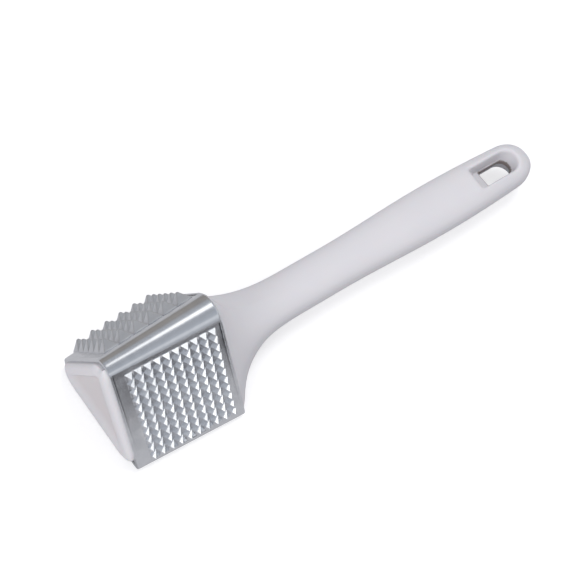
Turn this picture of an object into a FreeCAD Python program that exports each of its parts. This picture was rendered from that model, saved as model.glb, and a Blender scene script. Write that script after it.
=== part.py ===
"""Meat mallet with a three-sided toothed metal head on a moulded plastic handle.

Frame: +X runs from the head's end cap to the hanging hole and +Z is up. The mallet lies on its
smooth pounding face, and the origin is the middle of that face. Lengths are in millimetres.
"""
import FreeCAD, Part
import math
import os
import Sketcher
from FreeCAD import Placement, Rotation, Vector

doc = FreeCAD.newDocument("meat_mallet")

# ---------------------------------------------------------------- driving dimensions
SIZES = [
    ("sleeve_length", 60.0, "metal sleeve, along the handle axis"),
    ("overall_reach", 242.0, "middle of the head to the tip of the handle"),
    ("near_flank", 31.75, "origin to the plane of a toothed face, at the cap end"),
    ("far_flank", 34.95, "the same at the neck end: the head swells towards the handle"),
    ("near_ridge", 6.5, "radius of the rounded top ridge at the cap end"),
    ("far_ridge", 10.0, "the same at the neck end"),
    ("foot_radius", 3.5, "rounded edges beside the smooth face"),
    ("ground_off", 0.2, "cast allowance ground off the smooth face"),
    ("wall", 4.0, "sleeve wall"),
    ("web_depth", 6.0, "cap end of the sleeve to the web that the screw pulls on"),
    ("web_thickness", 3.0, "web across the sleeve"),
    ("slack", 0.25, "room round a moulded piece inside the casting"),
    ("fine_pitch", 5.0, "fine tooth spacing"),
    ("fine_height", 2.5, "fine tooth height"),
    ("fine_columns", 10, "fine teeth along the head"),
    ("fine_rows", 11, "fine teeth down the face"),
    ("fine_centre", 28.6, "height of the middle of the fine field"),
    ("coarse_pitch", 8.4, "coarse tooth spacing"),
    ("coarse_height", 5.0, "coarse tooth height"),
    ("coarse_columns", 6, "coarse teeth along the head"),
    ("coarse_rows", 6, "coarse teeth down the face"),
    ("coarse_centre", 27.8, "height of the middle of the coarse field"),
    ("field_shift", 1.4, "both tooth fields sit this far towards the handle"),
    ("tooth_root", 1.2, "tooth field sunk into the wall"),
    ("valley_rise", 0.15, "valleys between teeth stand this far off the plain margin"),
    ("cap_proud", 3.2, "end cap in front of the sleeve"),
    ("cap_edge", 1.4, "rounded front edge of the cap"),
    ("cap_inset", 0.3, "cap outline inside the sleeve outline"),
    ("dish_margin", 8.0, "cap outline to the dish in its front"),
    ("dish_slope", 3.0, "width of the dish's sloping edge"),
    ("dish_depth", 1.0, "dish"),
    ("plug_length", 5.6, "cap plug inside the sleeve"),
    ("plug_bore", 9.0, "radius of the room for the screw head in the plug"),
    ("plug_bore_depth", 4.4, "the same, its depth"),
    ("axis_height", 16.0, "handle axis above the smooth face"),
    ("grip_width", 24.0, "grip across, where it is slimmest, behind the neck"),
    ("tail_width", 28.2, "grip across, where it is widest"),
    ("end_width", 25.1, "grip across, at the round side of the hanging hole"),
    ("slim_station", 108.0, "end of the slimmest stretch"),
    ("wide_station", 178.0, "widest place"),
    ("end_station", 226.0, "place of the end width"),
    ("grip_thickness", 19.0, "grip, top to bottom"),
    ("neck_length", 54.0, "flare from the head to the grip"),
    ("ridge_flare", 3.0, "power with which the flare fades along its top"),
    ("foot_flare", 2.4, "the same, along its bottom"),
    ("flare_height", 57.0, "height over which one power turns into the other"),
    ("neck_inset", 0.5, "neck outline inside the sleeve outline where they meet"),
    ("neck_foot", 4.5, "rounded lower edges of the neck where it meets the sleeve"),
    ("tip_length", 14.0, "rounded tip of the handle"),
    ("hole_start", 211.5, "flat side of the hanging hole"),
    ("hole_end", 229.6, "round side of the hanging hole"),
    ("hole_width", 9.6, "hanging hole across"),
    ("hole_corner", 1.0, "corners beside the flat side"),
    ("hole_web", 3.2, "straight part of the hanging hole, in the middle of the thickness"),
    ("floor_start", 207.5, "flat side of the recess floor round the hole"),
    ("floor_end", 229.8, "round side of the recess floor"),
    ("floor_width", 10.8, "recess floor across"),
    ("rim_start", 202.8, "flat side of the recess rim"),
    ("rim_end", 232.8, "round side of the recess rim"),
    ("rim_width", 14.0, "recess rim across"),
    ("rim_corner", 3.0, "rim corners beside the flat side"),
    ("screw_height", 22.0, "axis of the hidden head screw"),
    ("screw_radius", 3.0, "screw shank"),
    ("screw_length", 24.0, "shank under the head"),
    ("head_radius", 5.2, "screw head"),
    ("head_height", 2.4, "screw head"),
    ("key_radius", 2.3, "hexagon socket, centre to corner"),
    ("key_depth", 1.6, "hexagon socket"),
    ("washer_radius", 7.5, "washer"),
    ("washer_thickness", 1.2, "washer"),
    ("clearance", 0.4, "room round the shank in the web, washer and core"),
    ("insert_radius", 4.6, "threaded insert"),
    ("insert_length", 14.0, "threaded insert"),
]
sheet = doc.addObject("Spreadsheet::Sheet", "sizes")
for row, (alias, value, note) in enumerate(SIZES, start=1):
    sheet.set(f"A{row}", alias)
    sheet.set(f"B{row}", str(value))
    sheet.set(f"C{row}", note)
    sheet.setAlias(f"B{row}", alias)
doc.recompute()


def size(alias):
    return float(getattr(sheet, alias))


# ---------------------------------------------------------------- the three-sided section
TILT = 60.0                                  # each toothed face leans this far off level
SIN, COS = math.sin(math.radians(TILT)), math.cos(math.radians(TILT))
NEAR_END, FAR_END = "-sizes.sleeve_length / 2", "sizes.sleeve_length / 2"


def swollen(near, far, station):
    """Expression for a head dimension that grows from the cap end to the neck end."""
    return f"sizes.{near} + (sizes.{far} - sizes.{near}) * (({station}) / sizes.sleeve_length + 0.5)"


def section_edges(flank, ridge, foot):
    """The section's six edges in turn: bottom, corner, flank, ridge, flank, corner.

    flank: middle of the bottom to a leaning side, ridge and foot: corner radii.
    """
    foot_centre = Vector(flank / SIN - foot / math.tan(math.radians(TILT / 2)), foot, 0)
    ridge_centre = Vector(0, (flank - ridge) / COS, 0)
    edges = [Part.LineSegment(Vector(-foot_centre.x, 0, 0), Vector(foot_centre.x, 0, 0))]
    turns = [(foot_centre, foot, -90), (ridge_centre, ridge, 30),
             (Vector(-foot_centre.x, foot_centre.y, 0), foot, 150)]
    arcs = [Part.ArcOfCircle(Part.Circle(centre, Vector(0, 0, 1), radius),
                             math.radians(start), math.radians(start + 120))
            for centre, radius, start in turns]
    for arc, following in zip(arcs, arcs[1:] + [None]):
        edges.append(arc)
        if following:
            edges.append(Part.LineSegment(arc.EndPoint, following.StartPoint))
    return edges


def triangle_sketch(body, name, station, inset="0", allowance="0"):
    """The head's section at x = station, moved in by inset all round, with its bottom side then
    lowered by an allowance; all three are expressions."""
    plane = next(item for item in body.Origin.OriginFeatures if item.Role == "YZ_Plane")
    sketch = body.newObject("Sketcher::SketchObject", name)
    sketch.AttachmentSupport = [(plane, "")]
    sketch.MapMode = "FlatFace"
    sketch.setExpression("AttachmentOffset.Base.y", f"{inset} - ({allowance})")
    sketch.setExpression("AttachmentOffset.Base.z", station)
    for edge in section_edges(flank=32.0, ridge=8.0, foot=3.5):
        sketch.addGeometry(edge, False)
    for here in range(6):
        sketch.addConstraint(Sketcher.Constraint("Tangent", here, 2, (here + 1) % 6, 1))
    sketch.addConstraint(Sketcher.Constraint("Symmetric", 0, 1, 0, 2, -2))
    sketch.addConstraint(Sketcher.Constraint("PointOnObject", 0, 1, -1))
    sketch.addConstraint(Sketcher.Constraint("PointOnObject", 3, 3, -2))
    sketch.addConstraint(Sketcher.Constraint("Equal", 1, 5))
    sketch.addConstraint(Sketcher.Constraint("Angle", 2, math.radians(180 - TILT)))
    flank = swollen("near_flank", "far_flank", station)
    ridge = swollen("near_ridge", "far_ridge", station)
    driven = [("flank", ("Distance", -1, 1, 2, 32.0), f"{flank} - 1.5 * ({inset}) + 0.5 * ({allowance})"),
              ("ridge", ("Radius", 3, 8.0), f"max({ridge} - ({inset}); 1.5)"),
              ("foot", ("Radius", 1, 3.5), f"max(sizes.foot_radius - ({inset}); 1.5)")]
    for label, arguments, expression in driven:
        index = sketch.addConstraint(Sketcher.Constraint(*arguments))
        sketch.renameConstraint(index, label)
        sketch.setExpression(f"Constraints.{label}", expression)
    return sketch


def head_loft(body, kind, name, start, stop, inset="0", stop_inset=None, allowance="0"):
    """A stretch of the head between two stations, added to or cut from a body."""
    near = triangle_sketch(body, f"{name}_start", start, inset, allowance)
    far = triangle_sketch(body, f"{name}_stop", stop, stop_inset or inset, allowance)
    loft = body.newObject(f"PartDesign::{kind}", name)
    loft.Profile = near
    loft.Sections = [far]
    loft.Ruled = True
    return loft


def axial_cylinder(name, radius, length, start):
    """A cylinder on the screw axis from x = start; all three are expressions."""
    rod = doc.addObject("Part::Cylinder", name)
    rod.Placement.Rotation = Rotation(Vector(0, 0, 1), Vector(1, 0, 0))
    rod.setExpression("Radius", radius)
    rod.setExpression("Height", length)
    rod.setExpression("Placement.Base.x", start)
    rod.setExpression("Placement.Base.z", "sizes.screw_height")
    return rod


def boolean(kind, name, base, tools):
    """A cut with one or more tools, or a fusion."""
    if kind == "Cut" and len(tools) > 1:
        tools = [boolean("MultiFuse", f"{name}_tools", tools[0], tools[1:])]
    result = doc.addObject(f"Part::{kind}", name)
    if kind == "Cut":
        result.Base, result.Tool = base, tools[0]
    else:
        result.Shapes = [base] + tools
    result.Label = name
    return result


# ---------------------------------------------------------------- head sleeve, cast aluminium
def outward(side):
    """Outward direction of a leaning face across the handle, side -1 or +1 along Y."""
    return Vector(0, side * SIN, COS)


def tooth_field(name, side):
    """A slab of touching pyramids that lies on one leaning face, its underside in the wall."""
    pitch, height = size(f"{name}_pitch"), size(f"{name}_height")
    columns, rows = int(size(f"{name}_columns")), int(size(f"{name}_rows"))
    rise = size("valley_rise")

    def corner(i, j):
        return Vector((i - columns / 2) * pitch, (j - rows / 2) * pitch, rise)

    def under(point):
        return Vector(point.x, point.y, -size("tooth_root"))

    facets = []
    for i in range(columns):
        for j in range(rows):
            ring = [corner(i, j), corner(i + 1, j), corner(i + 1, j + 1), corner(i, j + 1)]
            apex = (ring[0] + ring[2]) * 0.5 + Vector(0, 0, height - rise)
            facets += [[start, stop, apex] for start, stop in zip(ring, ring[1:] + ring[:1])]
    border = ([corner(i, 0) for i in range(columns)] + [corner(columns, j) for j in range(rows)]
              + [corner(i, rows) for i in range(columns, 0, -1)]
              + [corner(0, j) for j in range(rows, 0, -1)])
    for start, stop in zip(border, border[1:] + border[:1]):
        facets.append([stop, start, under(start), under(stop)])
    facets.append([under(point) for point in border])
    faces = [Part.Face(Part.makePolygon(facet + facet[:1])) for facet in facets]
    field = doc.addObject("Part::Feature", f"{name}_teeth")
    field.Shape = Part.makeSolid(Part.makeShell(faces))

    # the field lies along the swelling face, square to the handle axis across it
    swell = (size("far_flank") - size("near_flank")) / size("sleeve_length")
    shift = size("field_shift")
    flank = (size("near_flank") + size("far_flank")) / 2 + swell * shift
    up_slope = Vector(0, -side * COS, SIN)
    climb = (size(f"{name}_centre") - flank * COS) / SIN
    middle = Vector(shift, 0, 0) + outward(side) * flank + up_slope * climb
    along = Vector(1, 0, 0) + outward(side) * swell
    normal = outward(side) - Vector(1, 0, 0) * swell
    field.Placement = Placement(middle, Rotation(along, normal.cross(along), normal, "ZXY"))
    return field


casting = doc.addObject("PartDesign::Body", "casting")
WEB_FRONT = f"{NEAR_END} + sizes.web_depth"
WEB_BACK = f"{WEB_FRONT} + sizes.web_thickness"
head_loft(casting, "AdditiveLoft", "outside", NEAR_END, FAR_END, allowance="sizes.ground_off")
head_loft(casting, "SubtractiveLoft", "cap_pocket", NEAR_END, WEB_FRONT, "sizes.wall")
head_loft(casting, "SubtractiveLoft", "core_pocket", WEB_BACK, FAR_END, "sizes.wall")
toothed = boolean("MultiFuse", "toothed_casting", casting,
                  [tooth_field("fine", -1), tooth_field("coarse", 1)])
web_hole = axial_cylinder("web_hole", "sizes.screw_radius + sizes.clearance",
                          "sizes.web_thickness + 2", f"{WEB_FRONT} - 1")
grinding = doc.addObject("Part::Box", "grinding")
grinding.setExpression("Length", "sizes.sleeve_length + 20")
grinding.setExpression("Width", "4 * sizes.far_flank")
grinding.setExpression("Height", "5")
grinding.setExpression("Placement.Base.x", "-sizes.sleeve_length / 2 - 10")
grinding.setExpression("Placement.Base.y", "-2 * sizes.far_flank")
grinding.setExpression("Placement.Base.z", "-5")
head_sleeve = boolean("Cut", "head_sleeve", toothed, [web_hole, grinding])


# ---------------------------------------------------------------- end cap, moulded plastic
cap_moulding = doc.addObject("PartDesign::Body", "cap_moulding")
CAP_FRONT = f"{NEAR_END} - sizes.cap_proud"
FIT = "sizes.wall + sizes.slack"
head_loft(cap_moulding, "AdditiveLoft", "rim", f"{CAP_FRONT} + sizes.cap_edge", NEAR_END,
          "sizes.cap_inset")
head_loft(cap_moulding, "AdditiveLoft", "front_edge", CAP_FRONT, f"{CAP_FRONT} + sizes.cap_edge",
          "sizes.cap_inset + sizes.cap_edge", "sizes.cap_inset")
head_loft(cap_moulding, "AdditiveLoft", "plug", NEAR_END, f"{NEAR_END} + sizes.plug_length", FIT)
head_loft(cap_moulding, "SubtractiveLoft", "dish", CAP_FRONT, f"{CAP_FRONT} + sizes.dish_depth",
          "sizes.dish_margin", "sizes.dish_margin + sizes.dish_slope")
screw_room = axial_cylinder("screw_room", "sizes.plug_bore", "sizes.plug_bore_depth + 1",
                            f"{NEAR_END} + sizes.plug_length - sizes.plug_bore_depth")
end_cap = boolean("Cut", "end_cap", cap_moulding, [screw_room])


# ---------------------------------------------------------------- head screw, washer and insert
WASHER_FRONT = f"{WEB_FRONT} - sizes.washer_thickness"
HEAD_FRONT = f"{WASHER_FRONT} - sizes.head_height"
CORE_START = f"{WEB_BACK} + sizes.slack"

head = axial_cylinder("screw_head", "sizes.head_radius", "sizes.head_height", HEAD_FRONT)
shank = axial_cylinder("screw_shank", "sizes.screw_radius",
                       "sizes.screw_length + sizes.head_height", HEAD_FRONT)
key = doc.addObject("Part::Prism", "key_socket")
key.Polygon = 6
key.Placement.Rotation = Rotation(Vector(0, 0, 1), Vector(1, 0, 0))
key.setExpression("Circumradius", "sizes.key_radius")
key.setExpression("Height", "sizes.key_depth")
key.setExpression("Placement.Base.x", HEAD_FRONT)
key.setExpression("Placement.Base.z", "sizes.screw_height")
core_screw = boolean("Cut", "core_screw", boolean("MultiFuse", "screw_blank", head, [shank]), [key])

washer_disc = axial_cylinder("washer_disc", "sizes.washer_radius", "sizes.washer_thickness",
                             WASHER_FRONT)
washer_hole = axial_cylinder("washer_hole", "sizes.screw_radius + sizes.clearance",
                             "sizes.washer_thickness", WASHER_FRONT)
core_washer = boolean("Cut", "core_washer", washer_disc, [washer_hole])

insert_body = axial_cylinder("insert_body", "sizes.insert_radius", "sizes.insert_length", CORE_START)
insert_bore = axial_cylinder("insert_bore", "sizes.screw_radius", "sizes.insert_length", CORE_START)
core_insert = boolean("Cut", "core_insert", insert_body, [insert_bore])


# ---------------------------------------------------------------- handle, moulded plastic
OUTLINE_POINTS = 48


def smooth(value):
    """0 below 0, 1 above 1 and an easy curve between."""
    value = min(max(value, 0.0), 1.0)
    return value * value * (3 - 2 * value)


def even_points(edges, station):
    """Points evenly round a closed outline drawn in the plane x = station, from its bottom."""
    outline = Part.Wire([edge.toShape() for edge in edges])
    points = outline.discretize(Number=OUTLINE_POINTS + 1)[:-1]
    return [Vector(station, point.x, point.y) for point in points]


def head_outline(station):
    """The head's section, a little inside the sleeve, as points from the middle of the bottom."""
    inset = size("neck_inset")
    bottom, *others = section_edges(size("far_flank") - 1.5 * inset, size("far_ridge") - inset,
                                    size("neck_foot"))
    middle = Vector(0, 0, 0)
    halves = [Part.LineSegment(middle, bottom.EndPoint), Part.LineSegment(bottom.StartPoint, middle)]
    points = even_points([halves[0], *others, halves[1]], station)
    return [point + Vector(0, 0, inset) for point in points]


def grip_outline(station):
    """The grip's oval section, with fuller shoulders than an ellipse, as points from its bottom."""
    reach, tip = size("overall_reach"), size("tip_length")
    slim, wide, end = (size(f"{place}_station") for place in ("slim", "wide", "end"))
    widening = smooth((station - slim) / (wide - slim))
    narrowing = (max(station - wide, 0.0) / (end - wide)) ** 2
    past = min(max((station - reach + tip) / tip, 0.0), 0.985)
    half_width = (size("grip_width") * (1 - widening) + size("tail_width") * widening
                  - (size("tail_width") - size("end_width")) * narrowing) / 2
    half_width *= (1 - past ** 2) ** 0.5
    half_height = size("grip_thickness") / 2 * (1 - past ** 3.2) ** (1 / 3.2)
    points = []
    for step in range(OUTLINE_POINTS):
        angle = 2 * math.pi * step / OUTLINE_POINTS - math.pi / 2
        across, up = math.cos(angle), math.sin(angle)
        fullness = (abs(across) ** 2.5 + abs(up) ** 2.5) ** (-1 / 2.5)
        points.append(Vector(station, across * fullness * half_width,
                             size("axis_height") + up * fullness * half_height))
    return points


def handle_section(station):
    """Outline at one station: the head's section flares smoothly into the grip's oval."""
    start = size("sleeve_length") / 2
    remaining = min(max(1 - (station - start) / size("neck_length"), 0.0), 1.0)
    points = []
    for head, grip in zip(head_outline(station), grip_outline(station)):
        top_share = min(head.z / size("flare_height"), 1.0)
        share = remaining ** (size("foot_flare") * (1 - top_share) + size("ridge_flare") * top_share)
        points.append(head * share + grip * (1 - share))
    curve = Part.BSplineCurve()
    curve.interpolate(points, PeriodicFlag=True)
    return Part.Wire(curve.toShape())


def hang_outline(height, start, stop, width, corner):
    """D-shaped outline at one height: flat at start, round at stop."""
    half = width / 2
    nose = stop - half
    diagonal = corner * (1 - math.sqrt(0.5))
    path = [Part.LineSegment(Vector(start, -half + corner, height), Vector(start, half - corner, height)),
            Part.Arc(Vector(start, half - corner, height),
                     Vector(start + diagonal, half - diagonal, height),
                     Vector(start + corner, half, height)),
            Part.LineSegment(Vector(start + corner, half, height), Vector(nose, half, height)),
            Part.Arc(Vector(nose, half, height), Vector(stop, 0, height), Vector(nose, -half, height)),
            Part.LineSegment(Vector(nose, -half, height), Vector(start + corner, -half, height)),
            Part.Arc(Vector(start + corner, -half, height),
                     Vector(start + diagonal, -half + diagonal, height),
                     Vector(start, -half + corner, height))]
    return Part.Wire([edge.toShape() for edge in path])


head_end, tip_end = size("sleeve_length") / 2, size("overall_reach")
tip_start = tip_end - size("tip_length")
neck_stations = [head_end + size("neck_length") * part
                 for part in (0, 0.06, 0.13, 0.21, 0.31, 0.43, 0.57, 0.74, 1.0)]
grip_stations = [92.0, 108.0, 120.0, 135.0, 150.0, 165.0, 180.0, 195.0, 211.0, tip_start]
tip_stations = [tip_start + size("tip_length") * part for part in (0.25, 0.5, 0.7, 0.85, 0.95, 0.99)]
grip = doc.addObject("Part::Feature", "grip")
grip.Shape = Part.makeLoft([handle_section(station) for station in
                            neck_stations + grip_stations + tip_stations], True, False)

core = doc.addObject("PartDesign::Body", "core")
head_loft(core, "AdditiveLoft", "core_block", CORE_START, f"{FAR_END} + 2", FIT)

axis, half_web = size("axis_height"), size("hole_web") / 2
through = [size(f"hole_{part}") for part in ("start", "end", "width", "corner")]
recess_floor = [size("floor_start"), size("floor_end"), size("floor_width"), size("hole_corner")]
recess_rim = [size(f"rim_{part}") for part in ("start", "end", "width", "corner")]
rise = size("grip_thickness") / 2 - half_web
above = 1.0                                  # the cutters run on past the grip's surface
recess_top = [rim + (rim - floor) * above / rise for floor, rim in zip(recess_floor, recess_rim)]
hang_tools = []
for name, side in (("top_recess", 1), ("bottom_recess", -1)):
    recess = doc.addObject("Part::Feature", name)
    recess.Shape = Part.makeLoft([hang_outline(axis + side * half_web, *recess_floor),
                                  hang_outline(axis + side * (half_web + rise + above), *recess_top)],
                                 True, True)
    hang_tools.append(recess)
hang_slot = doc.addObject("Part::Feature", "hang_slot")
slot_face = Part.Face(hang_outline(axis - half_web - 1.0, *through))
hang_slot.Shape = slot_face.extrude(Vector(0, 0, 2 * half_web + 2.0))
insert_seat = axial_cylinder("insert_seat", "sizes.insert_radius", "sizes.insert_length", CORE_START)
tip_room = axial_cylinder("screw_tip_room", "sizes.screw_radius + sizes.clearance",
                          "sizes.screw_length", CORE_START)
handle = boolean("Cut", "handle", boolean("MultiFuse", "handle_blank", grip, [core]),
                 hang_tools + [hang_slot, insert_seat, tip_room])


# ---------------------------------------------------------------- check and write
doc.recompute()
for item in doc.Objects:
    if {"Invalid", "Error"} & set(item.State):
        raise RuntimeError(f"{item.Label} failed: {item.State}")

os.makedirs("parts", exist_ok=True)
for node in (head_sleeve, end_cap, core_screw, core_washer, core_insert, handle):
    shape = node.Shape
    if shape.isNull() or not shape.isValid() or len(shape.Solids) != 1:
        raise RuntimeError(f"{node.Label} is not one valid solid")
    shape.exportStep(f"parts/{node.Label}.step")
    box = shape.BoundBox
    print(f"{node.Label}: {shape.Volume:.0f} mm3, x {box.XMin:.2f}..{box.XMax:.2f}, "
          f"y {box.YMin:.2f}..{box.YMax:.2f}, z {box.ZMin:.2f}..{box.ZMax:.2f}")
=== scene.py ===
import math
import bpy
import numpy as np
from mathutils import Matrix, Vector


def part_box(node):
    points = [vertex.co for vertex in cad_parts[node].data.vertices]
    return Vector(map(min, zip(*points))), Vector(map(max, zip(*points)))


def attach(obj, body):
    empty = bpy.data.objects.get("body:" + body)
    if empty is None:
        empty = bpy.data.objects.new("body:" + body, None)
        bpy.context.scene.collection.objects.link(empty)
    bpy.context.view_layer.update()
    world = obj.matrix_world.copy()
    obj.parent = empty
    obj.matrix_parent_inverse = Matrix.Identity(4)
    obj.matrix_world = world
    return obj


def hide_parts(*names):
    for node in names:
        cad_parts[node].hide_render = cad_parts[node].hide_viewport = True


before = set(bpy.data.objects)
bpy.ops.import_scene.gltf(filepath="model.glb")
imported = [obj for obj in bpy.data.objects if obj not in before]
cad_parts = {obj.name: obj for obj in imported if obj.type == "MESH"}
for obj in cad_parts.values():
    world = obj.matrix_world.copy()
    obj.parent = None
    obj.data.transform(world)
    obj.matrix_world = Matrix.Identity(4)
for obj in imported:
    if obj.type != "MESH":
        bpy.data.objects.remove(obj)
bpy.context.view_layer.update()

# ------------------------------------------------------------------------------------------
# Handle: one injection moulding in pale grey ABS. A three-sided neck flares out of an oval grip
# to meet the metal head, a core behind it fills the head, and the tip has a hanging hole.
# ------------------------------------------------------------------------------------------
MM = 0.001
handle_low, handle_high = (np.array(corner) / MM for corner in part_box("handle"))
sleeve_low, sleeve_high = (np.array(corner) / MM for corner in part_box("head_sleeve"))
sleeve_start, sleeve_end = sleeve_low[0], sleeve_high[0]
sleeve_length = sleeve_end - sleeve_start

NEAR_FLANK, FAR_FLANK = 31.75, 34.95         # middle of the smooth face to a leaning face's plane
NEAR_RIDGE, FAR_RIDGE = 6.5, 10.0            # radius of the rounded top ridge
FOOT = 3.5                                   # radius beside the smooth face
WALL = 4.0
SLACK = 0.25                                 # room between moulding and casting
COS_TILT, SIN_TILT = 0.5, math.sqrt(0.75)    # the leaning faces stand at 60 degrees


def head_size(near, far, x):
    """A head dimension that grows evenly from the cap end to the neck end."""
    return near + (far - near) * (x - sleeve_start) / sleeve_length


def three_circles(flank, ridge, foot, raised=0.0):
    """Centres (y, z) and radii of the section's three corners: right foot, ridge, left foot.

    Each leaning side is the common tangent of a foot circle and the ridge circle, at distance
    flank from the middle of the bottom side.
    """
    foot_y = flank / SIN_TILT - foot * math.sqrt(3)
    zero = np.zeros_like(flank)
    centres = [(foot_y, zero + foot + raised), (zero, (flank - ridge) / COS_TILT + raised),
               (-foot_y, zero + foot + raised)]
    return centres, (foot, ridge, foot)


def section_distance(y, z, centres, radii):
    """Signed distance to a section: the largest of its three side distances, but in the wedge
    outside a corner the distance to that corner's circle."""
    sides = [(SIN_TILT, COS_TILT), (-SIN_TILT, COS_TILT), (0.0, -1.0)]
    corner_of_side = [1, 1, 0]
    distance = np.full(np.broadcast(y, z).shape, -1e9)
    for (ny, nz), corner in zip(sides, corner_of_side):
        cy, cz = centres[corner]
        distance = np.maximum(distance, ny * (y - cy) + nz * (z - cz) - radii[corner])
    wedges = [((COS_TILT, -SIN_TILT), (1.0, 0.0)), ((-COS_TILT, SIN_TILT), (COS_TILT, SIN_TILT)),
              ((-COS_TILT, -SIN_TILT), (-1.0, 0.0))]
    for (cy, cz), radius, (first, second) in zip(centres, radii, wedges):
        dy, dz = y - cy, z - cz
        outside = (dy * first[0] + dz * first[1] > 0) & (dy * second[0] + dz * second[1] > 0)
        distance = np.where(outside, np.hypot(dy, dz) - radius, distance)
    return distance


def soft_max(a, b, radius):
    """The larger of two distances, with the edge where they meet rounded over a radius."""
    overlap = np.maximum(radius - np.abs(a - b), 0.0)
    return np.maximum(a, b) + overlap * overlap / (4 * radius)


def ease(value):
    """0 below 0, 1 above 1, and 3t^2 - 2t^3 between."""
    value = np.clip(value, 0.0, 1.0)
    return value * value * (3 - 2 * value)


NECK_LENGTH = 54.0
RIDGE_FLARE, FOOT_FLARE = 3.0, 2.4           # powers with which the neck fades into the grip
NECK_RIDGE, NECK_FOOT, NECK_INSET = 9.5, 4.5, 0.5
GRIP_WIDTH, TAIL_WIDTH, END_WIDTH, GRIP_THICKNESS = 24.0, 28.2, 25.1, 19.0
SLIM_END, WIDEST, HOLE_END = 108.0, 178.0, 226.0       # where the grip has those three widths
GRIP_HEIGHT = 16.0                           # grip axis above the smooth face
TIP_LENGTH = 14.0
handle_tip = handle_high[0]
core_start = handle_low[0]

HOLE_FLAT, HOLE_ROUND, HOLE_WIDTH = 211.5, 229.6, 9.6
FLOOR_FLAT, FLOOR_ROUND, FLOOR_WIDTH = 207.5, 229.8, 10.8
RIM_FLAT, RIM_ROUND, RIM_WIDTH = 203.2, 232.6, 13.8
HOLE_WEB = 3.2
SCREW_HEIGHT = 22.0
INSERT_RADIUS, INSERT_LENGTH, TIP_ROOM_RADIUS, TIP_ROOM_LENGTH = 4.6, 14.0, 3.4, 24.0


def d_distance(x, y, flat, round_end, width, corner):
    """Signed distance to a D: a slot with a half round at round_end and a flat side at flat."""
    half = width / 2
    beyond = np.maximum(x - (round_end - half), 0.0)
    return soft_max(np.hypot(beyond, y) - half, flat - x, corner)


def hang_hole_distance(x, y, z):
    """Distances to the tapered recesses on both faces and to the straight hole between them."""
    depth = np.abs(z - GRIP_HEIGHT)
    rise = (depth - HOLE_WEB / 2) / (GRIP_THICKNESS / 2 - HOLE_WEB / 2)
    flat = FLOOR_FLAT + (RIM_FLAT - FLOOR_FLAT) * rise
    round_end = FLOOR_ROUND + (RIM_ROUND - FLOOR_ROUND) * rise
    width = FLOOR_WIDTH + (RIM_WIDTH - FLOOR_WIDTH) * rise
    recess = np.maximum(d_distance(x, y, flat, round_end, width, 1.6), HOLE_WEB / 2 - depth)
    return recess, d_distance(x, y, HOLE_FLAT, HOLE_ROUND, HOLE_WIDTH, 0.8)


def grip_distance(x, y, z):
    """Oval grip, fuller than an ellipse, with a rounded tip: |y/b|^n + |z/c|^n = 1 along the
    grip, closed at the end by a power of the distance past the tip's start."""
    widening = ease((x - SLIM_END) / (WIDEST - SLIM_END))
    narrowing = (np.maximum(x - WIDEST, 0.0) / (HOLE_END - WIDEST)) ** 2
    half_width = (GRIP_WIDTH + (TAIL_WIDTH - GRIP_WIDTH) * widening
                  - (TAIL_WIDTH - END_WIDTH) * narrowing) / 2
    half_height = GRIP_THICKNESS / 2
    past = np.maximum(x - (handle_tip - TIP_LENGTH), 0.0)
    oval = (np.abs(y / half_width) ** 2.5 + np.abs((z - GRIP_HEIGHT) / half_height) ** 2.5) ** (1 / 2.5)
    level = (oval ** 2.2 + (past / TIP_LENGTH) ** 2.2) ** (1 / 2.2)
    reach = np.sqrt(past ** 2 + y ** 2 + (z - GRIP_HEIGHT) ** 2)
    return reach * (1 - 1 / np.maximum(level, 1e-6))


def handle_distance(points):
    """Distance-like field of the whole moulding, below 0 inside.

    Neck: share * head section + (1 - share) * grip, with share falling from 1 at the head to 0
    along the neck. The core is the sleeve's pocket less its slack. The hole is cut with soft rims.
    """
    x, y, z = points[..., 0], points[..., 1], points[..., 2]
    up = np.clip(z / sleeve_high[2], 0.0, 1.0)
    flare = FOOT_FLARE * (1 - up) + RIDGE_FLARE * up
    share = np.clip(1 - (x - sleeve_end) / NECK_LENGTH, 0.0, 1.0) ** flare
    flank = FAR_FLANK - 1.5 * NECK_INSET
    neck = section_distance(y, z, *three_circles(flank, NECK_RIDGE, NECK_FOOT, NECK_INSET))
    body = share * neck + (1 - share) * grip_distance(x, y, z)
    body = np.maximum(body, sleeve_end - x)
    fit = WALL + SLACK
    pocket_flank = head_size(NEAR_FLANK, FAR_FLANK, x) - 1.5 * fit
    pocket_ridge = head_size(NEAR_RIDGE, FAR_RIDGE, x) - fit
    core = section_distance(y, z, *three_circles(pocket_flank, pocket_ridge, 1.5, fit))
    core = np.maximum(core, np.maximum(core_start - x, x - sleeve_end - 2.0))
    body = np.minimum(body, core)
    recess, hole = hang_hole_distance(x, y, z)
    body = soft_max(body, -recess, 1.8)
    body = soft_max(body, -hole, 0.3)
    off_axis = np.hypot(y, z - SCREW_HEIGHT)
    insert_seat = np.maximum(off_axis - INSERT_RADIUS, x - core_start - INSERT_LENGTH)
    tip_room = np.maximum(off_axis - TIP_ROOM_RADIUS, x - core_start - TIP_ROOM_LENGTH)
    return np.maximum(body, -np.minimum(insert_seat, tip_room))


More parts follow.
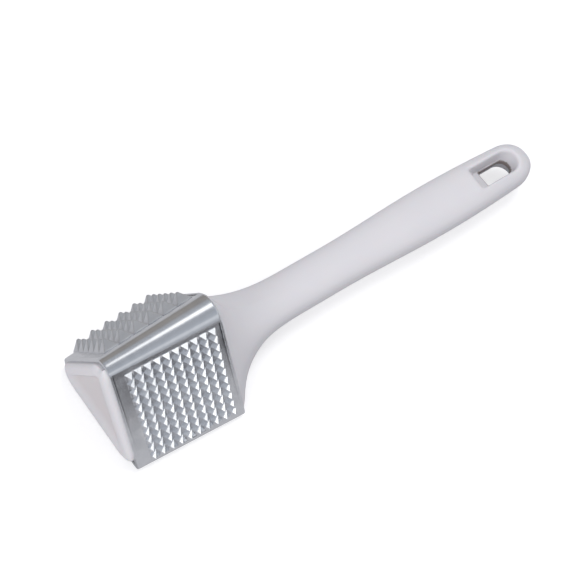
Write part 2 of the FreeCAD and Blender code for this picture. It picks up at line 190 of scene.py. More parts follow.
def field_surface(field, low, high, cell):
    """Closed quad mesh of field = 0 by surface nets.

    Each grid cell that the surface crosses holds one point, the mean of its crossed edges'
    crossing points, and each crossed grid edge gives one quad between the four cells round it.
    The points are then evened out and moved onto the surface by steps of -f * grad / |grad|^2.
    """
    lines = [np.arange(a - 2 * cell, b + 3 * cell, cell) for a, b in zip(low, high)]
    nodes = np.stack(np.meshgrid(*lines, indexing="ij"), axis=-1)
    value = field(nodes)
    cells = tuple(n - 1 for n in value.shape)
    total, count = np.zeros(cells + (3,)), np.zeros(cells)
    quads = []
    for axis in range(3):
        start, stop = [slice(None)] * 3, [slice(None)] * 3
        start[axis], stop[axis] = slice(0, -1), slice(1, None)
        a, b = value[tuple(start)], value[tuple(stop)]
        crossed = (a < 0) != (b < 0)
        place = nodes[tuple(start)][crossed]
        part = a[crossed] / (a[crossed] - b[crossed])
        place[:, axis] += part * cell
        index = np.argwhere(crossed)
        others = [i for i in range(3) if i != axis]
        corners = []
        for back_one, back_two in ((0, 0), (1, 0), (1, 1), (0, 1)):
            corner = index.copy()
            corner[:, others[0]] -= back_one
            corner[:, others[1]] -= back_two
            np.add.at(total, tuple(corner.T), place)
            np.add.at(count, tuple(corner.T), 1)
            corners.append(np.ravel_multi_index(tuple(corner.T), cells))
        quad = np.stack(corners, axis=1)
        turned = (a[crossed] < 0) == (axis == 1)
        quad[turned] = quad[turned][:, ::-1]
        quads.append(quad)
    used = np.flatnonzero(count.ravel())
    number = np.full(count.size, -1)
    number[used] = np.arange(len(used))
    points = total.reshape(-1, 3)[used] / count.ravel()[used][:, None]
    faces = number[np.concatenate(quads)]
    for _ in range(3):
        around, meets = np.zeros_like(points), np.zeros(len(points))
        for here, there in ((0, 1), (1, 2), (2, 3), (3, 0)):
            np.add.at(around, faces[:, here], points[faces[:, there]])
            np.add.at(meets, faces[:, here], 1)
        points += 0.5 * (around / meets[:, None] - points)
        points -= surface_step(field, points, cell)
    for _ in range(2):
        points -= surface_step(field, points, cell)
    return points, faces


def surface_step(field, points, cell):
    """Newton step from points to field = 0, capped at half a cell."""
    reach = 0.05
    slope = np.stack([field(points + offset) - field(points - offset)
                      for offset in np.eye(3) * reach], axis=-1) / (2 * reach)
    size = np.maximum((slope ** 2).sum(axis=-1, keepdims=True), 0.05)
    step = field(points)[:, None] * slope / size
    length = np.linalg.norm(step, axis=-1, keepdims=True)
    return step * np.minimum(1.0, 0.5 * cell / np.maximum(length, 1e-9))


def volume(points, groups):
    """Six times the volume a closed surface holds: the sum of a . (b x c) over its triangles."""
    total = 0.0
    for group in groups:
        a = points[group[:, 0]]
        for k in range(1, group.shape[1] - 1):
            total += (a * np.cross(points[group[:, k]], points[group[:, k + 1]])).sum()
    return total


def mesh_object(name, points, faces, smooth=True):
    """An object from points in millimetres and one or more arrays of faces of equal size each."""
    groups = faces if isinstance(faces, list) else [faces]
    if volume(points, groups) < 0:
        groups = [group[:, ::-1] for group in groups]
    mesh = bpy.data.meshes.new(name)
    corners = np.concatenate([group.ravel() for group in groups]).astype(np.int32)
    sizes = np.concatenate([np.full(len(group), group.shape[1]) for group in groups])
    starts = np.concatenate([[0], np.cumsum(sizes)[:-1]]).astype(np.int32)
    mesh.vertices.add(len(points))
    mesh.vertices.foreach_set("co", (np.asarray(points, dtype=np.float64) * MM).ravel())
    mesh.loops.add(len(corners))
    mesh.loops.foreach_set("vertex_index", corners)
    mesh.polygons.add(len(sizes))
    mesh.polygons.foreach_set("loop_start", starts)
    mesh.polygons.foreach_set("use_smooth", np.full(len(sizes), smooth))
    mesh.update(calc_edges=True)
    mesh.validate()
    piece = bpy.data.objects.new(name, mesh)
    bpy.context.scene.collection.objects.link(piece)
    return piece


def colour(hex_code):
    """Linear RGBA of an sRGB hex colour."""
    channels = [int(hex_code[i:i + 2], 16) / 255 for i in (1, 3, 5)]
    linear = [c / 12.92 if c <= 0.04045 else ((c + 0.055) / 1.055) ** 2.4 for c in channels]
    return (*linear, 1.0)


def add_node(tree, kind, settings=None, inputs=None):
    """A new node with its properties and its sockets, each a value or another node's output."""
    node = tree.nodes.new(kind)
    for key, value in (settings or {}).items():
        setattr(node, key, value)
    for key, value in (inputs or {}).items():
        if isinstance(value, bpy.types.NodeSocket):
            tree.links.new(value, node.inputs[key])
        else:
            node.inputs[key].default_value = value
    return node


def new_material(name):
    """An empty node material and its tree's output node."""
    material = bpy.data.materials.new(name)
    material.use_nodes = True
    material.node_tree.nodes.clear()
    output = add_node(material.node_tree, "ShaderNodeOutputMaterial")
    return material, material.node_tree, output


def moulded_abs():
    """Pale grey ABS straight from a lightly sparked mould: a soft broad gloss over a fine, even
    grain, with the faintest clouding of its colour. Where the dish attribute is 1 it is coloured a
    shade darker and warmer, and where the shade attribute is 1 it is painted a darker brown-grey as shade."""
    material, tree, output = new_material("moulded_abs_pale_grey")
    place = add_node(tree, "ShaderNodeTexCoord").outputs["Object"]
    clouds = add_node(tree, "ShaderNodeTexNoise", None, {"Vector": place, "Scale": 38.0, "Detail": 2.0})
    tint = add_node(tree, "ShaderNodeMix", {"data_type": "RGBA"},
                    {"Factor": clouds.outputs["Fac"], "A": colour("#d3d1d4"), "B": colour("#cdccd1")})
    # the cap's dish is coloured a shade darker and warmer
    darker_dish = add_node(tree, "ShaderNodeAttribute", {"attribute_name": "darker_dish"}).outputs["Fac"]
    tint = add_node(tree, "ShaderNodeMix", {"data_type": "RGBA"},
                    {"Factor": darker_dish, "A": tint.outputs["Result"], "B": colour("#c8c3c5")})
    # painted shade: a darker brown-grey where the shade attribute is 1
    shaded_wall = add_node(tree, "ShaderNodeAttribute", {"attribute_name": "painted_shade"}).outputs["Fac"]
    tint = add_node(tree, "ShaderNodeMix", {"data_type": "RGBA"},
                    {"Factor": shaded_wall, "A": tint.outputs["Result"], "B": colour("#8a7f7c")})
    # spark-eroded mould grain, about 0.5 mm from grain to grain
    grain = add_node(tree, "ShaderNodeTexNoise", None, {"Vector": place, "Scale": 2000.0, "Detail": 3.0})
    bump = add_node(tree, "ShaderNodeBump", None,
                    {"Strength": 0.10, "Distance": 0.00006, "Height": grain.outputs["Fac"]})
    gloss = add_node(tree, "ShaderNodeMapRange", None,
                     {"Value": grain.outputs["Fac"], "To Min": 0.42, "To Max": 0.52})
    shader = add_node(tree, "ShaderNodeBsdfPrincipled", None,
                      {"Base Color": tint.outputs["Result"], "Roughness": gloss.outputs["Result"],
                       "IOR": 1.54, "Normal": bump.outputs["Normal"],
                       "Subsurface Weight": 0.06, "Subsurface Scale": 0.002})
    tree.links.new(shader.outputs["BSDF"], output.inputs["Surface"])
    return material


cell = 0.68
points, faces = field_surface(handle_distance, handle_low, handle_high, cell)
handle = mesh_object("handle_moulding", points, faces)
# painted shade: the hanging hole's straight wall is coloured darker and browner, for the shade in it
x, y, z = points.T
darker = hang_hole_distance(x, y, z)[1] > -0.35
darker &= (x > HOLE_FLAT - 1) & (x < HOLE_ROUND + 0.4)
darker &= (np.abs(y) < HOLE_WIDTH / 2 + 0.4) & (np.abs(z - GRIP_HEIGHT) < HOLE_WEB / 2)
handle.data.attributes.new("painted_shade", "FLOAT", "POINT").data.foreach_set("value", darker.astype(float))
pale_abs = moulded_abs()
handle.data.materials.append(pale_abs)
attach(handle, "root")
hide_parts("handle")

# ------------------------------------------------------------------------------------------
# Head sleeve: one aluminium casting, closed by a web near its front, that slides over the
# handle's core. The rounded ridge is buffed bright and stands a little proud of the two leaning
# faces, as do thin lips at both ends. The face underneath is ground flat.
# ------------------------------------------------------------------------------------------
PROUD = 0.65                                 # ridge above the floor of the leaning faces
STEP_WIDTH, STEP_HEIGHT = 0.4, 54.1          # edge of the raised ridge, above the smooth face
NEAR_LIP, FAR_LIP = 1.3, 0.9                 # raised lips at the cap end and the neck end
NEAR_EDGE, FAR_EDGE, FAR_RIDGE_EDGE = 0.35, 0.5, 1.3   # roundings of the end rims
WEB_FRONT, WEB_BACK, WEB_HOLE = sleeve_start + 6.0, sleeve_start + 9.0, 3.4


def half_outline(along, flank, ridge, foot):
    """Point and outward direction on a section's right half, along millimetres from its top.

    The way goes 60 degrees round the ridge circle, straight down the flank, 120 degrees round
    the foot circle and along the flat bottom. Also returned: where those four stretches end.
    """
    foot_y = flank / SIN_TILT - foot * math.sqrt(3)
    ridge_z = (flank - ridge) / COS_TILT
    first = ridge * math.pi / 3
    straight = (ridge_z + ridge * COS_TILT - foot * (1 + COS_TILT)) / SIN_TILT
    second = first + straight
    third = second + foot * 2 * math.pi / 3
    angle = (np.clip(along / ridge, 0, math.pi / 3)
             + np.clip((along - second) / foot, 0, 2 * math.pi / 3))
    ny, nz = np.sin(angle), np.cos(angle)
    down = np.clip(along - first, 0.0, straight)
    y = np.where(along > second, foot_y + foot * ny, ridge * ny + down * COS_TILT)
    z = np.where(along > second, foot + foot * nz, ridge_z + ridge * nz - down * SIN_TILT)
    y = np.where(along > third, foot_y - (along - third), y)
    return (y, z), (ny, nz), (first, second, third, third + foot_y)


def ring_faces(rings, around, endless=False):
    """Quads between neighbouring rings of points, and from the last to the first if endless."""
    i = np.arange(rings if endless else rings - 1)[:, None] + np.zeros(around, int)
    j = np.arange(around)[None, :] + np.zeros_like(i)
    after, beside = (i + 1) % rings, (j + 1) % around
    quads = [i * around + j, i * around + beside, after * around + beside, after * around + j]
    return np.stack(quads, axis=-1).reshape(-1, 4)


FIELD_SHIFT = 1.4                            # middle of both tooth fields, from the sleeve's middle
FINE_PITCH, FINE_COLUMNS, FINE_ROWS = 5.0, 10, 11
FINE_MIDDLE = 28.6                           # height of the fine field's middle
FINE_PIT = 1.45                              # depth of the floor that the fine teeth stand on
PIT_MARGIN, PIT_SLOPE = 1.6, 0.9             # its edge lies this far inside the field, and slopes
FLANK_SWELL = (FAR_FLANK - NEAR_FLANK) / sleeve_length
COARSE_FOOT_NEAR, COARSE_FOOT_FAR = 6.5, 4.5   # radii of the foot beside the coarse teeth
lip_steps = np.linspace(-0.75, 0.75, 7) * STEP_WIDTH
quarter = np.linspace(0, math.pi / 2, 9)
stations = np.unique(np.round(np.concatenate([
    sleeve_start + NEAR_EDGE * (1 - np.cos(quarter[::2])), sleeve_start + NEAR_LIP + lip_steps,
    np.arange(sleeve_start + 2.2, sleeve_end - 2.2, 0.75),
    sleeve_end - FAR_LIP - FAR_EDGE + lip_steps,
    sleeve_end - FAR_RIDGE_EDGE * (1 - np.sin(quarter))]), 4))[:, None]


def casting_half(foot, pit=0.0):
    """The right half of the casting: its points, with the pocket's last, and two shares: buffed, and
    painted shade, a dark line painted at the foot of the step and the lips where shade falls.

    Columns run down from the ridge's top, close together at the step. The outside is moved in
    along its outward direction by the sunken floor's depth and by the end rims' rounding. Under
    the fine teeth it is pit millimetres down instead, so that their valleys lie open.
    """
    flank = head_size(NEAR_FLANK, FAR_FLANK, stations)
    ridge = head_size(NEAR_RIDGE, FAR_RIDGE, stations)
    first, second, third, middle = half_outline(0 * stations, flank, ridge, foot)[2]
    ridge_z = (flank - ridge) / COS_TILT
    on_arc = ridge * np.arccos(np.clip((STEP_HEIGHT - ridge_z) / ridge, -1, 1))
    on_flank = first + (ridge_z + ridge * COS_TILT - STEP_HEIGHT) / SIN_TILT
    step_line = np.where(on_flank < first, on_arc, on_flank)
    along = np.concatenate([
        np.linspace(0, 1, 33) * (step_line - 0.5), step_line + np.linspace(-0.35, 0.35, 9),
        step_line + 0.5 + np.linspace(0, 1, 41) * (second - step_line - 0.5),
        second + np.linspace(0.1, 1, 10) * (third - second),
        third + np.linspace(0.2, 1, 5) * (middle - third)], axis=1)
    (y, z), (ny, nz), _ = half_outline(along, flank, ridge, foot)
    past_step = ease((along - step_line) / STEP_WIDTH + 0.5)
    fade = 1 - ease((along - step_line) / (second - step_line))
    from_near = (stations - sleeve_start - NEAR_LIP) / STEP_WIDTH
    from_far = (sleeve_end - FAR_LIP - FAR_EDGE - stations) / STEP_WIDTH
    floor_share = past_step * fade * ease(from_near + 0.5) * ease(from_far + 0.5)
    corner = [(along - step_line) / STEP_WIDTH, from_near + 0 * along, from_far + 0 * along]
    # painted shade: a narrow dark band along the foot of the step and of both lips
    painted_shade = np.max([np.exp(-((gap - 0.45) / 0.5) ** 2) for gap in corner], axis=0)
    painted_shade *= fade * np.min([ease(gap + 0.9) for gap in corner], axis=0)
    far_edge = FAR_EDGE + (FAR_RIDGE_EDGE - FAR_EDGE) * (1 - ease((along - step_line) / 3.0 + 0.5))
    past_far = np.clip(stations - (sleeve_end - far_edge), 0, far_edge)
    past_near = np.clip(sleeve_start + NEAR_EDGE - stations, 0, NEAR_EDGE)
    field_x = stations - FIELD_SHIFT
    field_up = (z - FINE_MIDDLE - field_x * FLANK_SWELL * COS_TILT) / SIN_TILT
    half_length, half_climb = (FINE_PITCH * n / 2 - PIT_MARGIN for n in (FINE_COLUMNS, FINE_ROWS))
    under_teeth = (ease((half_length - np.abs(field_x)) / PIT_SLOPE)
                   * ease((half_climb - np.abs(field_up)) / PIT_SLOPE) * (along > step_line))
    sunk = (np.maximum(PROUD * floor_share, pit * under_teeth)
            + far_edge - np.sqrt(far_edge ** 2 - past_far ** 2)
            + NEAR_EDGE - np.sqrt(NEAR_EDGE ** 2 - past_near ** 2))
    outer = np.stack([stations + 0 * along, y - sunk * ny, z - sunk * nz], axis=-1)

    def pocket(x):
        row = int(np.argmin(np.abs(stations[:, 0] - x)))
        here = slice(row, row + 1)
        at_foot = (along[here] > second[here] - 1) & (along[here] < third[here] + 1)
        wall = np.where(at_foot, FOOT - 0.3, WALL)
        return np.stack([x + 0 * y[here], y[here] - wall * ny[here], z[here] - wall * nz[here]], axis=-1)

    def hole(x):
        edge = pocket(x)
        turn = np.arctan2(edge[..., 1], edge[..., 2] - SCREW_HEIGHT)
        return np.stack([edge[..., 0], WEB_HOLE * np.sin(turn),
                         SCREW_HEIGHT + WEB_HOLE * np.cos(turn)], axis=-1)

    inner = [pocket(sleeve_end), pocket(WEB_BACK), hole(WEB_BACK), hole(WEB_FRONT), pocket(WEB_FRONT),
             pocket(sleeve_start)]
    unfinished = np.zeros((6, along.shape[1]))
    shares = {"buffed": np.concatenate([1 - past_step, unfinished]),
              "painted_shade": np.concatenate([painted_shade, unfinished])}
    return np.concatenate([outer] + inner), shares


def both_halves(right, left):
    """A ring from two halves that run top to bottom: up the right one and down the left one."""
    return np.concatenate([right[:, ::-1], left[:, 1:-1]], axis=1)


# the foot beside the coarse teeth is rounder, most of all at the cap
coarse_half, coarse_shares = casting_half(head_size(COARSE_FOOT_NEAR, COARSE_FOOT_FAR, stations))
fine_half, fine_shares = casting_half(FOOT + 0 * stations, pit=FINE_PIT)
rings = both_halves(coarse_half, fine_half * np.array([1, -1, 1]))
sleeve = mesh_object("head_casting", rings.reshape(-1, 3), ring_faces(*rings.shape[:2], endless=True))
sleeve.data.set_sharp_from_angle(angle=math.radians(42))
for share in ("buffed", "painted_shade"):
    values = both_halves(coarse_shares[share], fine_shares[share])
    sleeve.data.attributes.new(share, "FLOAT", "POINT").data.foreach_set("value", values.ravel())


def cast_aluminium(name, gloss, worn_gloss, grain_depth):
    """Aluminium as it leaves the tumbler: bright, with a soft uneven gloss and a faint skin of
    casting grain. Where the buffed attribute is 1 it is polished, with fine lines along the ridge."""
    material, tree, output = new_material(name)
    place = add_node(tree, "ShaderNodeTexCoord").outputs["Object"]
    buffed = add_node(tree, "ShaderNodeAttribute", {"attribute_name": "buffed"}).outputs["Fac"]
    # tumbling leaves patches some 6 mm across that are a shade duller
    patches = add_node(tree, "ShaderNodeTexNoise", None, {"Vector": place, "Scale": 160.0, "Detail": 3.0})
    tint = add_node(tree, "ShaderNodeMix", {"data_type": "RGBA"},
                    {"Factor": patches.outputs["Fac"], "A": colour("#e9eaec"), "B": colour("#d6d8dc")})
    # painted shade: dark grey at the foot of the step and the lips, where shade falls
    painted_shade = add_node(tree, "ShaderNodeAttribute", {"attribute_name": "painted_shade"}).outputs["Fac"]
    tint = add_node(tree, "ShaderNodeMix", {"data_type": "RGBA"},
                    {"Factor": painted_shade, "A": tint.outputs["Result"], "B": colour("#4e4d4f")})
    # casting skin: grains about 0.5 mm across
    skin = add_node(tree, "ShaderNodeTexNoise", None,
                    {"Vector": place, "Scale": 2000.0, "Detail": 4.0, "Roughness": 0.6})
    # buffing lines: 0.2 mm apart across the ridge and 20 mm long
    stretched = add_node(tree, "ShaderNodeMapping", None,
                         {"Vector": place, "Scale": (50.0, 5000.0, 5000.0)})
    lines = add_node(tree, "ShaderNodeTexNoise", None,
                     {"Vector": stretched.outputs["Vector"], "Scale": 1.0, "Detail": 2.0})
    height = add_node(tree, "ShaderNodeMix", {"data_type": "FLOAT"},
                      {"Factor": buffed, "A": skin.outputs["Fac"], "B": lines.outputs["Fac"]})
    depth = add_node(tree, "ShaderNodeMapRange", None,
                     {"Value": buffed, "To Min": grain_depth, "To Max": 0.000004})
    bump = add_node(tree, "ShaderNodeBump", None,
                    {"Strength": 0.5, "Distance": depth.outputs["Result"], "Height": height.outputs["Result"]})
    uneven = add_node(tree, "ShaderNodeMapRange", None,
                      {"Value": patches.outputs["Fac"], "From Min": 0.3, "From Max": 0.7,
                       "To Min": gloss, "To Max": worn_gloss})
    rough = add_node(tree, "ShaderNodeMix", {"data_type": "FLOAT"},
                     {"Factor": buffed, "A": uneven.outputs["Result"], "B": 0.24})
    shader = add_node(tree, "ShaderNodeBsdfPrincipled", None,
                      {"Base Color": tint.outputs["Result"], "Metallic": 1.0,
                       "Roughness": rough.outputs["Result"], "Normal": bump.outputs["Normal"]})
    tree.links.new(shader.outputs["BSDF"], output.inputs["Surface"])
    return material


bright_casting = cast_aluminium("cast_aluminium_bright", 0.16, 0.26, 0.00002)
sleeve.data.materials.append(bright_casting)
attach(sleeve, "root")
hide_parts("head_sleeve")

# ------------------------------------------------------------------------------------------
# Fine teeth: ten by eleven sharp square pyramids cast in one with the sleeve on one leaning
# face, a tooth's foot against the next. They are steep enough to mirror each other.
# ------------------------------------------------------------------------------------------


def tooth_block(side, pitch, columns, rows, middle_height, profile, corner_points, wobble):
    """Points and faces of a field of teeth on one leaning face.

    A tooth is a stack of square rings with cut or rounded corners, each given by its half width,
    height and corner, closed at both ends. Field axes: along the swelling face, up it, and out.
    """
    turn = np.radians(np.repeat([0, 90, 180, 270], corner_points)
                      + np.tile(np.linspace(0, 90, corner_points), 4))
    across, up = np.cos(turn), np.sin(turn)
    quadrant = np.repeat([[1, 1], [-1, 1], [-1, -1], [1, -1]], corner_points, axis=0)
    half, height, corner = np.array(profile).T[:, :, None]
    shape = np.stack([(half - corner) * quadrant[:, 0] + corner * across,
                      (half - corner) * quadrant[:, 1] + corner * up, height + 0 * across], axis=-1)
    levels, around = shape.shape[:2]
    place = np.stack(np.meshgrid((np.arange(columns) + 0.5 - columns / 2) * pitch,
                                 (np.arange(rows) + 0.5 - rows / 2) * pitch, indexing="ij"), -1)
    place = place.reshape(-1, 2)
    teeth = np.repeat(shape[None], len(place), axis=0)
    teeth[..., :2] += place[:, None, None, :]
    lean = np.clip(shape[..., 2] / shape[..., 2].max(), 0, 1)[None, :, :, None]
    teeth += lean * np.random.default_rng(7).normal(0, wobble, (len(place), 1, 1, 3))

    out = np.array([0, side * SIN_TILT, COS_TILT])
    climb = np.array([0, -side * COS_TILT, SIN_TILT])
    flank_here = head_size(NEAR_FLANK, FAR_FLANK, FIELD_SHIFT)
    centre = (np.array([FIELD_SHIFT, 0, 0]) + out * flank_here
              + climb * (middle_height - flank_here * COS_TILT) / SIN_TILT)
    ahead = (np.array([1, 0, 0]) + out * FLANK_SWELL) / math.hypot(1, FLANK_SWELL)
    normal = (out - np.array([1, 0, 0]) * FLANK_SWELL) / math.hypot(1, FLANK_SWELL)
    points = centre + teeth[..., :1] * ahead + teeth[..., 1:2] * climb + teeth[..., 2:] * normal
    starts = (np.arange(len(place)) * levels * around)[:, None, None]
    sides = (ring_faces(levels, around)[None] + starts).reshape(-1, 4)
    ends = np.stack([np.arange(around)[::-1], (levels - 1) * around + np.arange(around)])
    if side > 0:
        sides, ends = sides[:, ::-1], ends[:, ::-1]
    return points.reshape(-1, 3), [sides, (ends[None] + starts).reshape(-1, around)]


fine_profile = [(2.46, -1.8, 0.06), (2.495, -1.3, 0.06), (0.2, 2.22, 0.09), (0.06, 2.43, 0.05)]
fine_block = tooth_block(-1, FINE_PITCH, FINE_COLUMNS, FINE_ROWS, FINE_MIDDLE, fine_profile, 2, 0.02)
fine_teeth = mesh_object("fine_teeth", *fine_block, smooth=False)
fine_teeth.data.materials.append(bright_casting)
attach(fine_teeth, "root")
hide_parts("head_sleeve")

# ------------------------------------------------------------------------------------------
# Coarse teeth: six by six blunt pyramids cast in one with the sleeve on the other leaning face.
# They are left duller than the rest of the casting.
# ------------------------------------------------------------------------------------------
coarse_profile = [(4.15, -1.2, 0.4), (4.18, -0.25, 0.4), (4.05, -0.05, 0.5), (2.6, 1.92, 0.6),
                  (1.1, 3.95, 0.6), (0.85, 4.4, 0.55), (0.52, 4.67, 0.42), (0.18, 4.8, 0.17)]
COARSE_PITCH, COARSE_COLUMNS, COARSE_ROWS, COARSE_MIDDLE = 8.4, 6, 6, 27.8
coarse_block = tooth_block(1, COARSE_PITCH, COARSE_COLUMNS, COARSE_ROWS, COARSE_MIDDLE, coarse_profile,
                           4, 0.03)
coarse_teeth = mesh_object("coarse_teeth", *coarse_block)
dull_casting = cast_aluminium("cast_aluminium_tumbled", 0.42, 0.52, 0.00004)
coarse_teeth.data.materials.append(dull_casting)
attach(coarse_teeth, "root")
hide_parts("head_sleeve")

# ------------------------------------------------------------------------------------------
# Fastening inside the head: a brass insert in the handle's core, and a zinc-plated cap screw
# with its washer that pull the sleeve's web against the core. The end cap hides them.
# ------------------------------------------------------------------------------------------


def turned_metal(name, light, dark, roughness):
    """Turned or rolled metal with fine rings of tool marks, 0.15 mm apart, round the x axis."""
    material, tree, output = new_material(name)
    place = add_node(tree, "ShaderNodeTexCoord").outputs["Object"]
    centred = add_node(tree, "ShaderNodeMapping", None,
                       {"Vector": place, "Location": (0.0, 0.0, -SCREW_HEIGHT * MM)})
    marks = add_node(tree, "ShaderNodeTexWave", {"wave_type": "RINGS", "rings_direction": "X"},
                     {"Vector": centred.outputs["Vector"], "Scale": 1050.0, "Distortion": 0.6, "Detail": 2.0})
    tint = add_node(tree, "ShaderNodeMix", {"data_type": "RGBA"},
                    {"Factor": marks.outputs["Fac"], "A": colour(light), "B": colour(dark)})
    bump = add_node(tree, "ShaderNodeBump", None,
                    {"Strength": 0.4, "Distance": 0.00001, "Height": marks.outputs["Fac"]})
    shader = add_node(tree, "ShaderNodeBsdfPrincipled", None,
                      {"Base Color": tint.outputs["Result"], "Metallic": 1.0, "Roughness": roughness,
                       "Normal": bump.outputs["Normal"]})
    tree.links.new(shader.outputs["BSDF"], output.inputs["Surface"])
    return material


turned_brass = turned_metal("turned_brass", "#d9b55f", "#c9a04c", 0.28)
plated_steel = turned_metal("zinc_plated_steel", "#cfd2d6", "#bcc1c7", 0.32)
for node, metal in (("core_insert", turned_brass), ("core_screw", plated_steel),
                    ("core_washer", plated_steel)):
    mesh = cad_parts[node].data
    mesh.materials.clear()
    mesh.materials.append(metal)

# ------------------------------------------------------------------------------------------
# End cap: moulded in the handle's ABS and pressed into the front of the sleeve. Its face is
# softly rounded at the rim and has a shallow dish, crisp beside the coarse teeth only.
# ------------------------------------------------------------------------------------------
cap_front = (np.array(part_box("end_cap")[0]) / MM)[0]
plug_end = (np.array(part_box("end_cap")[1]) / MM)[0]
CAP_INSET, CAP_WALL_STEP = 0.5, WALL + SLACK
CAP_FOOT = 8.0                               # its lower corners are rounder than the casting's
COARSE_SIDE_IN = 1.3                         # its coarse side stands in from the casting's edge
DISH_DEPTH = 1.0
ROUND_IN, ROUND_DEEP = 3.0, 2.4              # the rim's rounding, inwards and along the axis
PLUG_ROOM_RADIUS, PLUG_ROOM_DEPTH = 9.0, 4.4
CAP_AROUND = 61


def cap_half(x, inset, drawn_in):
    """The right half of the cap's outline moved in by inset, its corners growing rounder and
    then shrinking to nothing at the middle of the face, and its flank a further drawn_in."""
    left = 1 - inset / (NEAR_FLANK * 2 / 3)
    grown = 8 * left * (1 - left)
    drawn = drawn_in * np.minimum(inset / CAP_INSET, 1) * left
    outline_flank = NEAR_FLANK - 1.5 * inset - drawn
    corner = np.maximum(CAP_FOOT * left ** 0.8 * 0.96, 1e-4)
    top = np.maximum(NEAR_RIDGE * left + grown, 1e-4)
    total = half_outline(np.zeros_like(inset), outline_flank, top, corner)[2][3]
    share = np.linspace(0, 1, CAP_AROUND)[None, :]
    (y, z), _, _ = half_outline(share * total, outline_flank, top, corner)
    return np.stack([x + 0 * y, y, z + inset], axis=-1)


def dish(y, z):
    """Share of the dish's depth: a product of three eased slopes, one beside each edge."""
    from_coarse = NEAR_FLANK - SIN_TILT * y - COS_TILT * z
    from_fine = NEAR_FLANK + SIN_TILT * y - COS_TILT * z
    return ease((from_coarse - 6.8) / 1.3) * ease((from_fine - 5.5) / 5.0) * ease((z - 6.0) / 12.0)


bend = np.linspace(0, math.pi / 2, 12)
inner = np.linspace(CAP_INSET + ROUND_IN, NEAR_FLANK * 2 / 3 - 0.25, 46)[1:]
inset = np.concatenate([[CAP_WALL_STEP, CAP_WALL_STEP, CAP_INSET],
                        CAP_INSET + ROUND_IN * (1 - np.cos(bend)), inner])
depth = np.concatenate([[plug_end, sleeve_start, sleeve_start],
                        cap_front + ROUND_DEEP * (1 - np.sin(bend)), np.full(len(inner), cap_front)])
face = both_halves(cap_half(depth[:, None], inset[:, None], COARSE_SIDE_IN),
                   cap_half(depth[:, None], inset[:, None], 0.0) * np.array([1, -1, 1]))
sunk = dish(face[..., 1], face[..., 2])
sunk[:3] = 0
face[..., 0] += DISH_DEPTH * sunk
turn = np.arctan2(face[0, :, 1], face[0, :, 2] - SCREW_HEIGHT)
circle = np.stack([PLUG_ROOM_RADIUS * np.sin(turn),
                   SCREW_HEIGHT + PLUG_ROOM_RADIUS * np.cos(turn)], axis=-1)
room = [np.column_stack([np.full(len(turn), x), circle])
        for x in (plug_end - PLUG_ROOM_DEPTH, plug_end)]
rings = np.concatenate([np.stack(room), face])
count = len(rings) * rings.shape[1]
poles = np.array([[plug_end - PLUG_ROOM_DEPTH, 0, SCREW_HEIGHT],
                  [cap_front + DISH_DEPTH, 0, NEAR_FLANK * 2 / 3]])
around = np.arange(rings.shape[1])
beside = (around + 1) % len(around)
last = count - len(around)
fans = np.concatenate([np.stack([beside, around, np.full(len(around), count)], axis=1),
                       np.stack([last + around, last + beside, np.full(len(around), count + 1)], axis=1)])
cap = mesh_object("end_cap_moulding", np.concatenate([rings.reshape(-1, 3), poles]),
                  [ring_faces(*rings.shape[:2]), fans])
cap.data.set_sharp_from_angle(angle=math.radians(50))
# the dish is coloured a shade darker and warmer than the rest of the cap
darker_dish = np.concatenate([np.zeros(2 * rings.shape[1]), sunk.ravel(), [0.0, 1.0]])
cap.data.attributes.new("darker_dish", "FLOAT", "POINT").data.foreach_set("value", darker_dish)
cap.data.materials.append(pale_abs)
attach(cap, "root")
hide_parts("end_cap")

# ------------------------------------------------------------------------------------------
# Studio: a wide pale floor, softboxes overhead and in front, and surroundings in tones laid out for
# the metal to mirror. The camera is above the head, looking down along the handle.
# ------------------------------------------------------------------------------------------
REACH = 3.0
FLOOR_GLOW = 0.56
floor_mesh = bpy.data.meshes.new("floor")
floor_mesh.from_pydata([(-REACH, -REACH, -0.0001), (REACH, -REACH, -0.0001), (REACH, REACH, -0.0001),
                        (-REACH, REACH, -0.0001)], [], [(0, 1, 2, 3)])
floor = bpy.data.objects.new("floor", floor_mesh)
bpy.context.scene.collection.objects.link(floor)
paper, tree, output = new_material("white_paper_sweep")
# the paper glows softly, for the camera only: the glow neither lights the object nor shows in it
straight = add_node(tree, "ShaderNodeLightPath").outputs["Is Camera Ray"]
glow = add_node(tree, "ShaderNodeMath", {"operation": "MULTIPLY"}, {0: straight, 1: FLOOR_GLOW})
shader = add_node(tree, "ShaderNodeBsdfPrincipled", None,
                  {"Base Color": colour("#bfbfc1"), "Roughness": 0.9, "Specular IOR Level": 0.1,
                   "Emission Color": colour("#ffffff"), "Emission Strength": glow.outputs["Value"]})
tree.links.new(shader.outputs["BSDF"], output.inputs["Surface"])
floor_mesh.materials.append(paper)


def soft_light(name, place, aim, width, height, power):
    light = bpy.data.lights.new(name, "AREA")
    light.shape, light.size, light.size_y, light.energy = "RECTANGLE", width, height, power
    lamp = bpy.data.objects.new(name, light)
    lamp.location = place
    lamp.rotation_euler = (Vector(aim) - Vector(place)).to_track_quat("-Z", "Y").to_euler()
    bpy.context.scene.collection.objects.link(lamp)
    return lamp


# reflections don't see the lamps, which would flare: they see a dimmer patch of the ceiling
overhead = soft_light("overhead_softbox", (0.57, 0.13, 1.42), (0.05, 0.0, 0.0), 0.55, 0.46, 7.0)
overhead.visible_glossy = False
front = soft_light("front_softbox", (-1.35, -0.55, 0.75), (0.0, 0.0, 0.02), 1.0, 0.8, 13.5)
front.visible_glossy = False

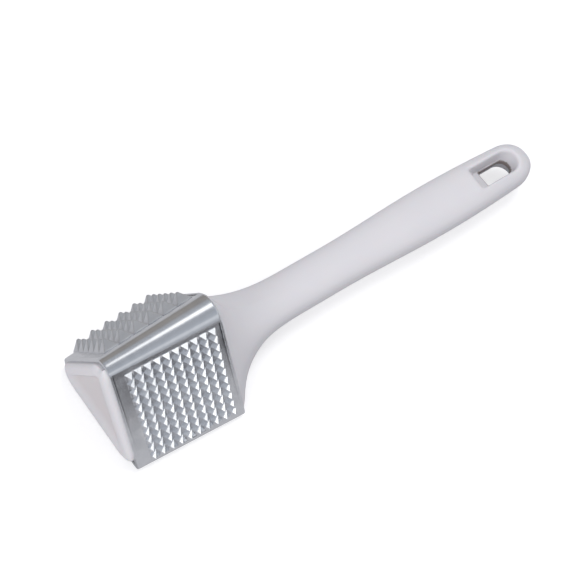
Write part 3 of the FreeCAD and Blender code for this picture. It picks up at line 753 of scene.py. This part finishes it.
# a low dark card along the fine teeth's side, seen by reflections only
flag_mesh = bpy.data.meshes.new("black_flag")
flag_mesh.from_pydata([(-0.35, -0.24, 0.0), (0.6, -0.24, 0.0), (0.6, -0.24, 0.03), (-0.35, -0.24, 0.03)],
                      [], [(0, 1, 2, 3)])
flag = bpy.data.objects.new("black_flag", flag_mesh)
bpy.context.scene.collection.objects.link(flag)
cloth, tree, output = new_material("black_felt")
shader = add_node(tree, "ShaderNodeBsdfPrincipled", None,
                  {"Base Color": colour("#303033"), "Roughness": 1.0})
tree.links.new(shader.outputs["BSDF"], output.inputs["Surface"])
flag_mesh.materials.append(cloth)
flag.visible_camera = flag.visible_diffuse = flag.visible_shadow = False

world = bpy.data.worlds.new("studio")
bpy.context.scene.world = world
world.use_nodes = True
tree = world.node_tree
tree.nodes.clear()
outwards = add_node(tree, "ShaderNodeTexCoord").outputs["Generated"]
direction = add_node(tree, "ShaderNodeSeparateXYZ", None, {"Vector": outwards})
# in reflections, from the floor up: a pale wall with a brighter strip, then a dimmer ceiling
walls = add_node(tree, "ShaderNodeValToRGB", None, {"Fac": direction.outputs["Z"]})
ramp = walls.color_ramp
for height, tone in ((0.2, "#c2c6cd"), (0.45, "#eceff4"), (0.6, "#b2b7bf"), (0.78, "#b2b7bf"),
                     (0.9, "#a9adb4")):
    ramp.elements.new(height).color = colour(tone)
ramp.elements[0].color, ramp.elements[-1].color = colour("#a9acb2"), colour("#a9adb4")
# the +y side is a darker brown-grey, fading out between about 33 and 58 degrees up
to_back = add_node(tree, "ShaderNodeMapRange", {"interpolation_type": "SMOOTHSTEP"},
                   {"Value": direction.outputs["Y"], "From Min": 0.2, "From Max": 0.6})
low_down = add_node(tree, "ShaderNodeMapRange", {"interpolation_type": "SMOOTHSTEP"},
                    {"Value": direction.outputs["Z"], "From Min": 0.55, "From Max": 0.85,
                     "To Min": 0.85, "To Max": 0.0})
dark = add_node(tree, "ShaderNodeMath", {"operation": "MULTIPLY"},
                {0: to_back.outputs["Result"], 1: low_down.outputs["Result"]})
surround = add_node(tree, "ShaderNodeMix", {"data_type": "RGBA"},
                    {"Factor": dark.outputs["Value"], "A": walls.outputs["Color"], "B": colour("#8d8780")})
# the bright patch of the ceiling: full within 9 degrees of its middle, gone at about 14
towards = add_node(tree, "ShaderNodeVectorMath", {"operation": "DOT_PRODUCT"},
                   {0: outwards, 1: (0.345, 0.10, 0.933)})
patch = add_node(tree, "ShaderNodeMapRange", {"interpolation_type": "SMOOTHSTEP"},
                 {"Value": towards.outputs["Value"], "From Min": 0.972, "From Max": 0.988})
surround = add_node(tree, "ShaderNodeMix", {"data_type": "RGBA"},
                    {"Factor": patch.outputs["Result"], "A": surround.outputs["Result"],
                     "B": colour("#ffffff")})
# all other rays see an even pale tent instead
mirrored = add_node(tree, "ShaderNodeLightPath").outputs["Is Glossy Ray"]
surround = add_node(tree, "ShaderNodeMix", {"data_type": "RGBA"},
                    {"Factor": mirrored, "A": colour("#d2d2d5"), "B": surround.outputs["Result"]})
strength = add_node(tree, "ShaderNodeMath", {"operation": "MULTIPLY_ADD"},
                    {0: patch.outputs["Result"], 1: 1.1, 2: 1.0})
sky = add_node(tree, "ShaderNodeBackground", None,
               {"Color": surround.outputs["Result"], "Strength": strength.outputs["Value"]})
tree.links.new(sky.outputs["Background"], add_node(tree, "ShaderNodeOutputWorld").inputs["Surface"])

camera_data = bpy.data.cameras.new("camera")
camera_data.lens, camera_data.sensor_width = 96.55, 36.0
camera_data.clip_start, camera_data.clip_end = 0.05, 20.0
camera = bpy.data.objects.new("camera", camera_data)
right, up = Vector((0.80069, -0.58260, 0.13953)), Vector((0.46345, 0.74997, 0.47197))
back = right.cross(up)
turned = Matrix((right, up, back)).transposed().to_4x4()
camera.matrix_world = Matrix.Translation(Vector((-212.23, -241.23, 693.91)) * MM) @ turned
bpy.context.scene.collection.objects.link(camera)
bpy.context.scene.camera = camera
bpy.context.scene.view_settings.view_transform = "Standard"
